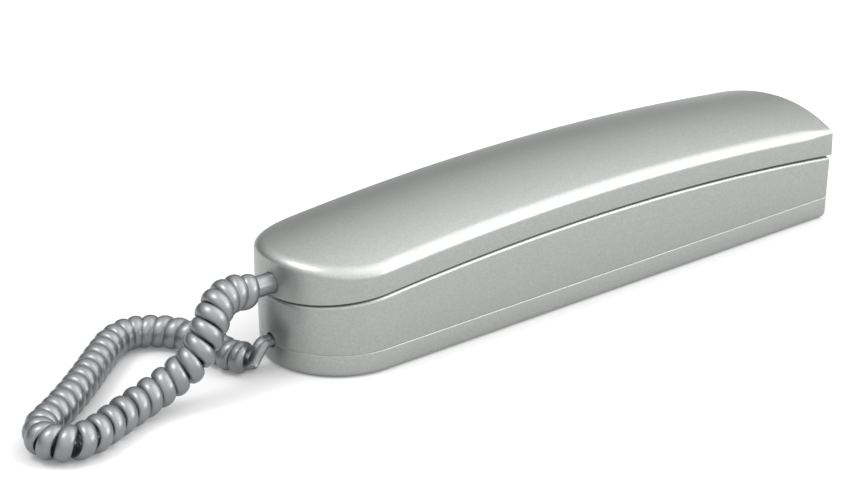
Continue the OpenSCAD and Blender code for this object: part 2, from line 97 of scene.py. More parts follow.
class BodySizes(bpy.types.PropertyGroup):
    """Outline and arch that the handset and the base share."""
    body_l: length("Length", "Length of the handset over its ends", 200)
    body_w: length("Width", "Width of the handset", 46.4)
    split_h: length("Split height", "Height of the split between handset and base", 26.65)
    arch_r: length("Arch radius", "Radius of the arch that the split follows", 870)
    arch_mid: length("Arch middle", "Place of the arch's highest point", -4)
    ear_end_r: length("Ear end radius", "Plan radius of the ear end", 120)
    corner_r: length("Corner radius", "Plan radius of the ear end's two corners", 0.8)
    split_gap: length("Split gap", "Gap between handset and base", 0.6)
    wall: length("Wall", "Thickness of the moulded walls", 2.2)


class HandsetSizes(bpy.types.PropertyGroup):
    """Crown, edges and bosses of the handset."""
    height: length("Height", "Height of the crown above the split", 12.4)
    crown_r: length("Crown radius", "Radius of the crown across the width", 66)
    edge_drop: length("Edge drop", "Depth of the softened upper edge", 2.2)
    edge_in: length("Edge reach", "Inward reach of the softened upper edge", 3.0)
    end_edge_in: length("End edge reach", "Inward reach of the softened edge at the ear end", 1.4)
    end_edge_drop: length("End edge drop", "Depth of the softened edge at the ear end", 1.2)
    end_edge_run: length("End edge run", "Length over which the side's edge turns into the ear end's", 16)
    lip_r: length("Lip radius", "Radius of the lower lip", 0.35)
    post_d: length("Post diameter", "Diameter of the two screw posts", 6)
    post_from_boss: length("Post place", "Distance of a screw post from the middle of its boss", 23)
    screw_hole_d: length("Screw hole", "Diameter of the holes in the screw posts", 2.3)
    face_t: length("Face", "Thickness of the inner shell that the posts stand on", 2.2)
    fit: length("Fit", "Clearance round the strain relief", 0.1)
    sleeve_d: length("Sleeve diameter", "Diameter of the strain relief", 6)
    sleeve_out: length("Sleeve reach", "How far the strain relief stands out", 6)
    sleeve_rise: length("Sleeve height", "Height of the strain relief above the split", 4.25)
    sleeve_rim: length("Sleeve rim", "Radius of the strain relief's soft rim", 0.5)
    bore_fit: length("Bore fit", "Clearance round the wire in the strain relief", 0.1)
    bore_lip: length("Bore lip", "Size of the slope round the bore's mouth", 0.1)
    bore_depth: length("Bore depth", "Depth of the bore that the wire leaves by", 1.5)
    flange_gap: length("Flange gap", "Gap between the wall and the strain relief's flange", 0.7)
    flange_out: length("Flange reach", "How far the flange stands out of the strain relief", 0.5)
    flange_t: length("Flange", "Thickness of the strain relief's flange", 1.2)


class BaseSizes(bpy.types.PropertyGroup):
    """Sides, deck and foot of the base."""
    inset: length("Inset", "How far the base's upper edge stands back from the handset", 0.45)
    draft: bpy.props.FloatProperty(
        name="Draft", description="Lean of the sides for each unit of height", default=0.027, precision=4)
    seam_h: length("Seam height", "Height of the back plate's rim", 7)
    seam_r: length("Seam radius", "Radius of the cover's edge along the seam", 0.15)
    rim_proud: length("Rim step", "How far the back plate's rim stands out of the cover", 0.02)
    rim_r: length("Rim radius", "Radius of the back plate's edge along the seam", 0.28)
    lip_r: length("Lip radius", "Radius of the base's upper edge", 1.3)
    foot_r: length("Foot radius", "Radius of the back plate's lower edge", 2)
    floor_t: length("Floor", "Thickness of the back plate's floor", 2.5)
    ear_x: length("Ear place", "Place of the ear cup along the length", 73)
    ear_cup_d: length("Ear cup", "Diameter of the ear cup", 38)
    mouth_x: length("Mouth place", "Place of the mouth cup along the length", -73)
    mouth_cup_d: length("Mouth cup", "Diameter of the mouth cup", 25)
    cup_depth: length("Cup depth", "Depth of both cups", 3.4)
    cup_lip_r: length("Cup lip", "Radius of the cups' upper edge", 0.7)
    hook_x: length("Hook place", "Place of the hook plunger", 30)
    hook_d: length("Hook hole", "Diameter of the hook plunger's hole", 6.12)
    guide_d: length("Hook guide", "Outer diameter of the hook plunger's guide", 8.92)
    guide_l: length("Guide length", "Length of the hook plunger's guide below the deck", 3.4)
    button_x: length("Button place", "Place of the door button", -4)
    button_d: length("Button hole", "Diameter of the door button's hole", 12.12)
    screw_x: length("Screw place", "Place of the cover screw", -55)
    screw_head_d: length("Screw seat", "Diameter of the cover screw's seat", 6.2)
    screw_seat: length("Screw seat depth", "Depth of the cover screw's seat", 2.2)
    screw_hole_d: length("Screw hole", "Diameter of the cover screw's hole", 3.4)
    post_d: length("Screw post", "Diameter of the cover screw's post", 7.5)
    post_z: length("Post foot", "Height at which the two screw posts meet", 12)
    wall_hole_x: length("Wall hole place", "Distance of the wall holes from mid-length", 67)
    wall_hole_d: length("Wall hole", "Diameter of the wall screw holes", 4.2)
    entry_x: length("Entry place", "Place of the cable entry slot", 80)
    entry_l: length("Entry length", "Length of the cable entry slot", 16)
    entry_w: length("Entry width", "Width of the cable entry slot", 9)
    board_post_d: length("Board post", "Diameter of the board's posts", 6)
    board_head_d: length("Board screw head", "Diameter of the board screws' heads", 5)
    board_z: length("Board height", "Height of the circuit board's underside", 8.5)
    gland_y: length("Gland place", "Place of the cord's way in across the width", 2)
    gland_z: length("Gland height", "Height of the cord's way in", 7.4)
    gland_d: length("Gland hole", "Diameter of the cord's way in", 4.4)
    gland_l: length("Gland depth", "Depth of the cord's way in", 7)


class CordSizes(bpy.types.PropertyGroup):
    """The curly cord."""
    wire_w: length("Wire width", "Width of the cord's flat wire, along the curls", 4.5)
    wire_t: length("Wire thickness", "Thickness of the cord's flat wire", 2.8)
    pitch: length("Pitch", "From one curl to the next where the cord is straight", 4.85)
    crowding: number("Crowding", "How far the curls close up in a bend, to stay close on its outside", 0.75)
    last_turn: angle("Last turn", "Side of the last curl that the wire leaves for the base", -100)
    lead_handset: length("Lead at the handset", "Length of the cord's straight end at the handset", 0.3)
    lead_base: length("Lead at the base", "Length of the cord's straight end at the base", 3.2)
    open_handset: length("Opening at the handset", "Length over which the curls open out", 2)
    open_base: length("Opening at the base", "Length of the wire's way from the last curl to the base", 7)
    curl_d_handset: length("Curls at the handset", "Outer diameter of the curls at the handset", 10.4)
    curl_d_base: length("Curls at the base", "Outer diameter of the curls at the base", 9)
    wire_l: length("Wire length", "Length of the wire along its curls", 978)
    rings: bpy.props.IntProperty(
        name="Rings", description="Rings of the mesh in one curl", default=32, min=8, subtype="UNSIGNED")
    sides: bpy.props.IntProperty(
        name="Sides", description="Sides of the wire's mesh", default=16, min=6, subtype="UNSIGNED")


class Finishes(bpy.types.PropertyGroup):
    """Colours of the finishes, and the soft edges."""
    edge_r: length("Soft edge", "Radius of the soft edges on the solids shown as built", 0.25)
    silver: tint("Silver paint", "Silver paint of the handset and the base", (0.315, 0.324, 0.316))
    vinyl: tint("Cord vinyl", "Grey vinyl of the cord", (0.2, 0.207, 0.212))
    button: tint("Button plastic", "Pale plastic of the button and the plunger", (0.42, 0.43, 0.43))
    black: tint("Black plastic", "Black plastic of the inner pieces", (0.018, 0.018, 0.02))
    laminate: tint("Board laminate", "Green of the circuit board", (0.016, 0.11, 0.05))
    terminal: tint("Terminal plastic", "Green of the terminal block", (0.03, 0.22, 0.12))
    steel: tint("Steel", "Bright steel of the screws and springs", (0.6, 0.59, 0.57))
    foam: tint("Foam", "Black foam of the ear ring", (0.02, 0.02, 0.022))


class StageSizes(bpy.types.PropertyGroup):
    """Camera, floor and light."""
    camera_place: bpy.props.FloatVectorProperty(
        name="Camera place", description="Place of the camera", default=(-0.51886, -0.57653, 0.33937),
        subtype="TRANSLATION", unit="LENGTH")
    camera_turn: angle("Camera turn", "Turn of the camera about the upright", -39.496)
    camera_tilt: angle("Camera tilt", "Height of the camera above the horizon", 23.127)
    camera_lens: bpy.props.FloatProperty(
        name="Lens", description="Focal length on a 36 mm sensor", default=119.45, unit="CAMERA")
    floor_colour: tint("Floor", "Colour of the floor", (0.5, 0.5, 0.5))
    floor_lift: number("Floor lift", "How far the floor is lifted to white where it is looked at", 0.14)
    sky_lean: bpy.props.FloatVectorProperty(
        name="Sky lean", description="Way in which the sky grows brighter", default=(0.0, -0.5, 1.0),
        subtype="DIRECTION")
    sky_dark: number("Dark sky ends", "Reach along the lean up to which the sky is dimmest", -0.28)
    sky_bright: number("Bright sky starts", "Reach along the lean from which the sky is brightest", 0.8)
    sky_low: number("Dim sky", "Strength of the sky where it is dimmest", 0.02)
    sky_high: number("Bright sky", "Strength of the sky where it is brightest", 2.0)
    key_power: power("Key", "Power of the key", 20.0)
    top_power: power("Top", "Power of the lamp over the cord end", 8.0)
    fill_power: power("Fill", "Power of the fill", 8.0)


def sizes(group):
    """The scene's values of one group."""
    return getattr(bpy.context.scene, group)


# Shapes that the pieces share

def arch_z(x, above=0.0):
    """Height of the split's arch, or of a line above it, at a place along the length."""
    b = sizes("intercom_body")
    return b.split_h - b.arch_r + np.sqrt((b.arch_r + above) ** 2 - (x - b.arch_mid) ** 2)


def arch_frame(x):
    """Matrix whose Z is square to the split's arch at a place along the length."""
    b = sizes("intercom_body")
    lean = math.asin((x - b.arch_mid) / b.arch_r)
    centre = Vector((b.arch_mid, 0, b.split_h - b.arch_r))
    turn = Matrix.Rotation(lean, 4, "Y")
    return Matrix.Translation(centre) @ turn @ Matrix.Translation((0, 0, b.arch_r))


def base_inset(z):
    """How far the base's side stands back from the handset's at a height."""
    s = sizes("intercom_base")
    return s.inset + s.draft * (sizes("intercom_body").split_h - z)


# Points of the body's plan outline on its parts, from the cord end round to the ear end and back
END_STEPS = 72
SIDE_STEPS = 110
CORNER_STEPS = 10
EAR_STEPS = 40
# Least plan radius of a corner
CORNER_MIN_R = 0.02 * MM
# Steps of a narrow lip, of a wider lip or rim, of the foot and of the handset's upper edge
LIP_STEPS = 4
RIM_STEPS = 8
FOOT_STEPS = 10
EDGE_STEPS = 14
# Rings over a surface from its edge to the middle line, and under it
CROWN_RINGS = 40
CROWN_INNER_RINGS = 14
DECK_RINGS = 16
DECK_INNER_RINGS = 12
PLATE_RINGS = 6
# Degrees between two faces from which their edge is sharp, and the same for the handset
SHARP = 35.0
CROWN_SHARP = 40.0
# Points nearer than this become one, and edges shorter than this go
MERGE = 0.004 * MM
THIN = 0.001 * MM
# How far a room that is cut out runs on past the face that it opens, and the same above the deck
OVERRUN = 2 * MM
DECK_OVERRUN = 8 * MM


def plan(inset):
    """Plan outline drawn in by a distance, one row a point: round cord end, straight sides, bowed end."""
    b = sizes("intercom_body")
    half = b.body_w / 2
    end_x = half - b.body_l / 2
    bow_x = b.body_l / 2 - b.ear_end_r
    w = max(half - inset, 0.0)
    r = min(max(b.corner_r - inset, CORNER_MIN_R), w)
    bow = b.ear_end_r - inset
    corner_y = w - r
    corner_x = bow_x + math.sqrt((bow - r) ** 2 - corner_y ** 2)
    corner_a = math.atan2(corner_y, corner_x - bow_x)
    turn = np.linspace(math.pi / 2, 3 * math.pi / 2, END_STEPS, endpoint=False)
    parts = [np.stack([end_x + w * np.cos(turn), w * np.sin(turn)], 1)]
    run = np.linspace(end_x, corner_x, SIDE_STEPS, endpoint=False)
    parts.append(np.stack([run, np.full_like(run, -w)], 1))
    turn = np.linspace(-math.pi / 2, -corner_a, CORNER_STEPS, endpoint=False)
    parts.append(np.stack([corner_x + r * np.cos(turn), -corner_y + r * np.sin(turn)], 1))
    turn = np.linspace(-corner_a, corner_a, EAR_STEPS, endpoint=False)
    parts.append(np.stack([bow_x + bow * np.cos(turn), bow * np.sin(turn)], 1))
    turn = np.linspace(corner_a, math.pi / 2, CORNER_STEPS, endpoint=False)
    parts.append(np.stack([corner_x + r * np.cos(turn), corner_y + r * np.sin(turn)], 1))
    parts.append(np.stack([run[::-1] + (corner_x - end_x) / SIDE_STEPS, np.full_like(run, w)], 1))
    return np.concatenate(parts)


def core(t, outer):
    """Inset at a share of the way from an outer inset to the body's middle line."""
    return outer + (sizes("intercom_body").body_w / 2 - outer) * t


def ring(inset, height):
    """Ring of the body at an inset, whose height is a function of x and y."""
    p = plan(inset)
    return np.column_stack([p, height(p[:, 0], p[:, 1])])


def level_ring(inset, z):
    """Level ring of the base, drawn in from its leaning side."""
    return ring(inset + base_inset(z), lambda x, y: np.full_like(x, z))


def along_length(x, y, z):
    """Matrix whose Z runs along the length from a point."""
    return Matrix.Translation((x, y, z)) @ Matrix.Rotation(math.pi / 2, 4, "Y")


def quarter(steps):
    """Angles of a quarter turn, both ends among them."""
    return np.linspace(0, math.pi / 2, steps + 1)


def skin(rings, capped=True):
    """Vertices and faces of a skin over rings of as many points each, with a face over each end or none."""
    count = len(rings[0])
    verts = np.concatenate(rings)
    faces = []
    for low in range(0, (len(rings) - 1) * count, count):
        for j in range(count):
            k = (j + 1) % count
            faces.append((low + j, low + k, low + count + k, low + count + j))
    if capped:
        faces.append(tuple(range(count - 1, -1, -1)))
        last = (len(rings) - 1) * count
        faces.append(tuple(range(last, last + count)))
    return verts, faces


def new_piece(name, verts, faces, sharp=SHARP):
    """Mesh object with smooth faces, sharp where they meet at more than an angle in degrees."""
    mesh = bpy.data.meshes.new(name)
    mesh.from_pydata([tuple(v) for v in verts], [], faces)
    obj = bpy.data.objects.new(name, mesh)
    bpy.context.scene.collection.objects.link(obj)
    tidy_normals(obj, sharp)
    return obj


def tidy_normals(obj, sharp):
    """Turns all faces outwards and shades them smooth up to an angle in degrees."""
    work = bmesh.new()
    work.from_mesh(obj.data)
    bmesh.ops.remove_doubles(work, verts=work.verts, dist=MERGE)
    bmesh.ops.dissolve_degenerate(work, edges=work.edges, dist=THIN)
    bmesh.ops.recalc_face_normals(work, faces=work.faces)
    work.to_mesh(obj.data)
    work.free()
    obj.data.shade_smooth()
    obj.data.set_sharp_from_angle(angle=math.radians(sharp))


def lathe(name, profile, matrix, steps=96):
    """Closed solid turned about Z, from points of radius and height that run from one end to the other."""
    turn = np.linspace(0, 2 * math.pi, steps, endpoint=False)
    rings = [np.column_stack([r * np.cos(turn), r * np.sin(turn), np.full(steps, z)]) for r, z in profile]
    verts, faces = skin(rings)
    obj = new_piece(name, verts, faces)
    obj.data.transform(matrix)
    return obj


def drum(d, low, high):
    """Lathe profile of a plain drum."""
    return [(d / 2, low), (d / 2, high)]


def bored(d, low, high, lip_r, above):
    """Lathe profile of a hole's room, which flares with a round lip at a height and runs on above it."""
    flare = [(d / 2 + lip_r * (1 - math.cos(a)), high - lip_r * (1 - math.sin(a)))
             for a in quarter(RIM_STEPS)]
    return [(d / 2, low)] + flare + [(d / 2 + lip_r, high + above)]


def carve(obj, others, operation, sharp=SHARP):
    """Joins other solids to a solid or cuts them out of it, and deletes them."""
    for other in others:
        step = obj.modifiers.new(other.name, "BOOLEAN")
        step.operation = operation
        step.object = other
        step.solver = "EXACT"
    bpy.context.view_layer.update()
    graph = bpy.context.evaluated_depsgraph_get()
    done = bpy.data.meshes.new_from_object(obj.evaluated_get(graph))
    obj.modifiers.clear()
    obj.data = done
    for other in others:
        bpy.data.objects.remove(other)
    tidy_normals(obj, sharp)


# Finishes

# Scale and detail of the clouds in a finish, and how far they shift its roughness
CLOUD_SCALE = 90.0
CLOUD_DETAIL = 3.0
CLOUD_SHIFT = 0.03
# Height of the flakes
FLAKE_H = 0.02 * MM


def group_socket(group, name, kind, way):
    """Adds a named socket to a node group."""
    group.interface.new_socket(name=name, in_out=way, socket_type=kind)


def math_step(nodes, operation, value=None):
    """Math node, with its second value if that is fixed."""
    step = nodes.new("ShaderNodeMath")
    step.operation = operation
    if value is not None:
        step.inputs[1].default_value = value
    return step


def flake_group():
    """Group of fine flakes, which vary a finish's colour, roughness and height."""
    group = bpy.data.node_groups.get("Paint Flakes")
    if group:
        return group
    group = bpy.data.node_groups.new("Paint Flakes", "ShaderNodeTree")
    group_socket(group, "Colour", "NodeSocketColor", "INPUT")
    for name in ("Scale", "Amount", "Roughness"):
        group_socket(group, name, "NodeSocketFloat", "INPUT")
    group_socket(group, "Colour", "NodeSocketColor", "OUTPUT")
    for name in ("Roughness", "Height"):
        group_socket(group, name, "NodeSocketFloat", "OUTPUT")
    nodes, links = group.nodes, group.links
    take = nodes.new("NodeGroupInput")
    give = nodes.new("NodeGroupOutput")
    place = nodes.new("ShaderNodeTexCoord")
    cells = nodes.new("ShaderNodeTexVoronoi")
    links.new(place.outputs["Object"], cells.inputs["Vector"])
    links.new(take.outputs["Scale"], cells.inputs["Scale"])
    cloud = nodes.new("ShaderNodeTexNoise")
    cloud.inputs["Scale"].default_value = CLOUD_SCALE
    cloud.inputs["Detail"].default_value = CLOUD_DETAIL
    links.new(place.outputs["Object"], cloud.inputs["Vector"])
    grey = nodes.new("ShaderNodeSeparateColor")
    links.new(cells.outputs["Color"], grey.inputs["Color"])
    centred = math_step(nodes, "SUBTRACT", 0.5)
    links.new(grey.outputs["Red"], centred.inputs[0])
    scaled = math_step(nodes, "MULTIPLY")
    links.new(centred.outputs[0], scaled.inputs[0])
    links.new(take.outputs["Amount"], scaled.inputs[1])
    level = math_step(nodes, "ADD", 1.0)
    links.new(scaled.outputs[0], level.inputs[0])
    shade = nodes.new("ShaderNodeVectorMath")
    shade.operation = "SCALE"
    links.new(take.outputs["Colour"], shade.inputs[0])
    links.new(level.outputs[0], shade.inputs["Scale"])
    links.new(shade.outputs[0], give.inputs["Colour"])
    drift = nodes.new("ShaderNodeMapRange")
    drift.inputs["To Min"].default_value = -CLOUD_SHIFT
    drift.inputs["To Max"].default_value = CLOUD_SHIFT
    links.new(cloud.outputs["Fac"], drift.inputs["Value"])
    rough = math_step(nodes, "ADD")
    links.new(take.outputs["Roughness"], rough.inputs[0])
    links.new(drift.outputs["Result"], rough.inputs[1])
    links.new(rough.outputs[0], give.inputs["Roughness"])
    links.new(grey.outputs["Green"], give.inputs["Height"])
    return group


def finish_with(name, colour, metallic, roughness, flakes, scale, bump):
    """Principled material whose colour, roughness and fine bump come from the flake group."""
    made = bpy.data.materials.get(name)
    if made:
        return made
    made = bpy.data.materials.new(name)
    made.use_nodes = True
    nodes, links = made.node_tree.nodes, made.node_tree.links
    shader = nodes["Principled BSDF"]
    shader.inputs["Metallic"].default_value = metallic
    grain = nodes.new("ShaderNodeGroup")
    grain.node_tree = flake_group()
    grain.inputs["Colour"].default_value = (*colour, 1.0)
    grain.inputs["Scale"].default_value = scale
    grain.inputs["Amount"].default_value = flakes
    grain.inputs["Roughness"].default_value = roughness
    raised = nodes.new("ShaderNodeBump")
    raised.inputs["Strength"].default_value = bump
    raised.inputs["Distance"].default_value = FLAKE_H
    links.new(grain.outputs["Colour"], shader.inputs["Base Color"])
    links.new(grain.outputs["Roughness"], shader.inputs["Roughness"])
    links.new(grain.outputs["Height"], raised.inputs["Height"])
    links.new(raised.outputs["Normal"], shader.inputs["Normal"])
    return made


def silver_paint():
    """Satin silver paint of the handset and the base."""
    colour = sizes("intercom_finish").silver
    return finish_with(
        "silver_paint_finish", colour, metallic=0.85, roughness=0.38, flakes=0.12, scale=2600.0, bump=0.03)


def cord_vinyl():
    """Semi-gloss grey vinyl of the cord."""
    colour = sizes("intercom_finish").vinyl
    return finish_with(
        "cord_vinyl_finish", colour, metallic=0.85, roughness=0.36, flakes=0.05, scale=2500.0, bump=0.02)


def button_plastic():
    """Fine-grained pale plastic of the controls."""
    colour = sizes("intercom_finish").button
    return finish_with(
        "button_plastic_finish", colour, metallic=0.0, roughness=0.42, flakes=0.06, scale=3200.0, bump=0.2)


def black_plastic():
    """Black moulded plastic of the inner pieces."""
    colour = sizes("intercom_finish").black
    return finish_with(
        "black_plastic_finish", colour, metallic=0.0, roughness=0.45, flakes=0.2, scale=2600.0, bump=0.3)


def board_laminate():
    """Green lacquered laminate of the circuit board."""
    colour = sizes("intercom_finish").laminate
    return finish_with(
        "board_laminate_finish", colour, metallic=0.0, roughness=0.3, flakes=0.12, scale=1500.0, bump=0.1)


def terminal_plastic():
    """Green plastic of the terminal block."""
    colour = sizes("intercom_finish").terminal
    return finish_with(
        "terminal_plastic_finish", colour, metallic=0.0, roughness=0.4, flakes=0.08, scale=2600.0, bump=0.2)


def bright_steel():
    """Bright plated steel of screws, springs, weight and capsule."""
    colour = sizes("intercom_finish").steel
    return finish_with(
        "bright_steel_finish", colour, metallic=1.0, roughness=0.28, flakes=0.1, scale=1800.0, bump=0.15)


def black_foam():
    """Open black foam of the ear ring."""
    colour = sizes("intercom_finish").foam
    return finish_with(
        "black_foam_finish", colour, metallic=0.0, roughness=0.9, flakes=0.5, scale=1400.0, bump=0.8)


def dress(obj, material):
    """Gives an object one material."""
    obj.data.materials.clear()
    obj.data.materials.append(material)


# Operators

# Place, aim and size of each lamp in metres
LAMPS = {
    "key": ((1.1, -0.75, 1.5), (0.0, 0.0, 0.0), (1.9, 1.9)),
    "top": ((-0.65, 0.2, 1.3), (-0.08, 0.0, 0.03), (0.5, 0.5)),
    "fill": ((0.95, -1.25, 0.5), (0.0, 0.0, 0.02), (0.9, 0.4)),
}
# Half of the floor's width in metres
FLOOR_REACH = 30.0


class INTERCOM_OT_stage(bpy.types.Operator):
    """Makes the camera, the floor and the light"""
    bl_idname = "intercom.stage"
    bl_label = "Stage"

    def execute(self, context):
        s = sizes("intercom_stage")
        scene = context.scene
        scene.view_settings.view_transform = "Standard"
        camera = bpy.data.cameras.new("camera")
        camera.lens = s.camera_lens
        camera.sensor_width = 36.0
        holder = bpy.data.objects.new("camera", camera)
        scene.collection.objects.link(holder)
        a, e = s.camera_turn, s.camera_tilt
        back = Vector((math.sin(a) * math.cos(e), -math.cos(a) * math.cos(e), math.sin(e)))
        holder.rotation_mode = "QUATERNION"
        holder.rotation_quaternion = (-back).to_track_quat("-Z", "Y")
        holder.location = s.camera_place
        scene.camera = holder
        self.floor(scene)
        self.lights(scene)
        return {"FINISHED"}

    def floor(self, scene):
        """White floor that keeps the object's shadow."""
        reach = FLOOR_REACH
        corners = [(-reach, -reach, 0), (reach, -reach, 0), (reach, reach, 0), (-reach, reach, 0)]
        mesh = bpy.data.meshes.new("studio_floor")
        mesh.from_pydata(corners, [], [(0, 1, 2, 3)])
        floor = bpy.data.objects.new("studio_floor", mesh)
        scene.collection.objects.link(floor)
        dress(floor, self.floor_finish())

    def floor_finish(self):
        """Matt floor, lifted to white where it is looked at or mirrored."""
        s = sizes("intercom_stage")
        made = bpy.data.materials.new("studio_floor")
        made.use_nodes = True
        nodes, links = made.node_tree.nodes, made.node_tree.links
        shader = nodes["Principled BSDF"]
        shader.inputs["Base Color"].default_value = (*s.floor_colour, 1.0)
        shader.inputs["Roughness"].default_value = 0.9
        shader.inputs["Specular IOR Level"].default_value = 0.0
        shader.inputs["Emission Color"].default_value = (1.0, 1.0, 1.0, 1.0)
        path = nodes.new("ShaderNodeLightPath")
        seen = path.outputs["Is Camera Ray"]
        for name in ("Is Glossy Ray", "Is Transmission Ray"):
            either = math_step(nodes, "MAXIMUM")
            links.new(seen, either.inputs[0])
            links.new(path.outputs[name], either.inputs[1])
            seen = either.outputs[0]
        lift = math_step(nodes, "MULTIPLY", s.floor_lift)
        links.new(seen, lift.inputs[0])
        links.new(lift.outputs[0], shader.inputs["Emission Strength"])
        return made

    def lights(self, scene):
        """A soft key, a lamp over the cord end, a weaker fill, and a sky that is dim along the horizon."""
        s = sizes("intercom_stage")
        world = bpy.data.worlds.new("studio_sky")
        world.use_nodes = True
        scene.world = world
        nodes, links = world.node_tree.nodes, world.node_tree.links
        way = nodes.new("ShaderNodeTexCoord")
        lean = nodes.new("ShaderNodeVectorMath")
        lean.operation = "DOT_PRODUCT"
        lean.inputs[1].default_value = s.sky_lean
        links.new(way.outputs["Generated"], lean.inputs[0])
        level = nodes.new("ShaderNodeMapRange")
        level.inputs["From Min"].default_value = s.sky_dark
        level.inputs["From Max"].default_value = s.sky_bright
        level.inputs["To Min"].default_value = s.sky_low
        level.inputs["To Max"].default_value = s.sky_high
        links.new(lean.outputs["Value"], level.inputs["Value"])
        links.new(level.outputs["Result"], nodes["Background"].inputs["Strength"])
        nodes["Background"].inputs["Color"].default_value = (1.0, 1.0, 1.0, 1.0)
        powers = {"key": s.key_power, "top": s.top_power, "fill": s.fill_power}
        for name, (place, aim, size) in LAMPS.items():
            self.panel(scene, name, place, aim, size, powers[name])

    def panel(self, scene, name, place, aim, size, power):
        """One rectangular lamp aimed at a point."""
        lamp = bpy.data.lights.new(name, "AREA")
        lamp.shape = "RECTANGLE"
        lamp.size, lamp.size_y = size
        lamp.energy = power
        holder = bpy.data.objects.new(name, lamp)
        scene.collection.objects.link(holder)
        holder.location = place
        aim_line = Vector(aim) - Vector(place)
        holder.rotation_mode = "QUATERNION"
        holder.rotation_quaternion = aim_line.to_track_quat("-Z", "Y")


# Route of the curls' middle line in millimetres, from the handset to the base
CORD_ROUTE = [
    (-106, 0, 25.6), (-109, 0, 25.6), (-115, -0.6, 26), (-119.6, -2.2, 24.6), (-123.2, -4, 21.2),
    (-126.4, -5, 17.2), (-130.5, -5.2, 12.6), (-136.5, -4, 8.6), (-143.5, -4, 6.2), (-151.5, -6.2, 5.4),
    (-160, -9.8, 5.4), (-166.8, -12.4, 5.4), (-173.8, -12.4, 5.4), (-177.8, -6.6, 5.4),
    (-174.6, -0.2, 5.4), (-167, 5, 5.2), (-157, 12, 5.2), (-147.5, 19.5, 5.1), (-138.5, 27, 5),
    (-130.5, 33, 4.9), (-123.5, 35, 4.8), (-117, 32, 4.7), (-112.8, 26.5, 4.6), (-110.6, 20, 4.6),
    (-109.8, 13, 4.6), (-109.8, 6.5, 4.6), (-107.8, 1.2, 5.2), (-101.2, 2, 7.4), (-98, 2, 7.4)]
# How far the curls are drawn apart, by the number of a point of the route
CURL_STRETCH = [(0, 0.95), (4, 0.95), (7, 1.15), (9, 1.3), (11, 1.15), (12, 1.35), (12.7, 1), (28, 1)]
# Steps of a leg of the route
LEG_STEPS = 40


def unit(v):
    """Rows of an array at length one."""
    return v / np.linalg.norm(v, axis=-1, keepdims=True)


def ease(t):
    """Smooth step from 0 to 1."""
    t = np.clip(t, 0, 1)
    return t * t * (3 - 2 * t)


def cord_line():
    """Smooth line through the route's points, straight in its first and last legs."""
    places = np.array(CORD_ROUTE, float) * MM
    last = len(places) - 2
    points = []
    for k in range(last + 1):
        b, c = places[k], places[k + 1]
        for t in np.arange(LEG_STEPS) / LEG_STEPS:
            if k in (0, last):
                points.append(b + (c - b) * t)
                continue
            a, d = places[k - 1], places[k + 2]
            cubic = (2 * a - 5 * b + 4 * c - d) * t ** 2 + (3 * b - a - 3 * c + d) * t ** 3
            points.append((2 * b + (c - a) * t + cubic) / 2)
    points.append(places[-1])
    return np.array(points)


def bends(line):
    """Sharpness of the line's bend at each point, as one over its radius, measured over a leg."""
    half = LEG_STEPS // 2
    m = np.clip(np.arange(len(line)), half, len(line) - 1 - half)
    a, b, c = line[m - half], line[m], line[m + half]
    return 2 * np.linalg.norm(unit(c - b) - unit(b - a), axis=1) / np.linalg.norm(c - a, axis=1)


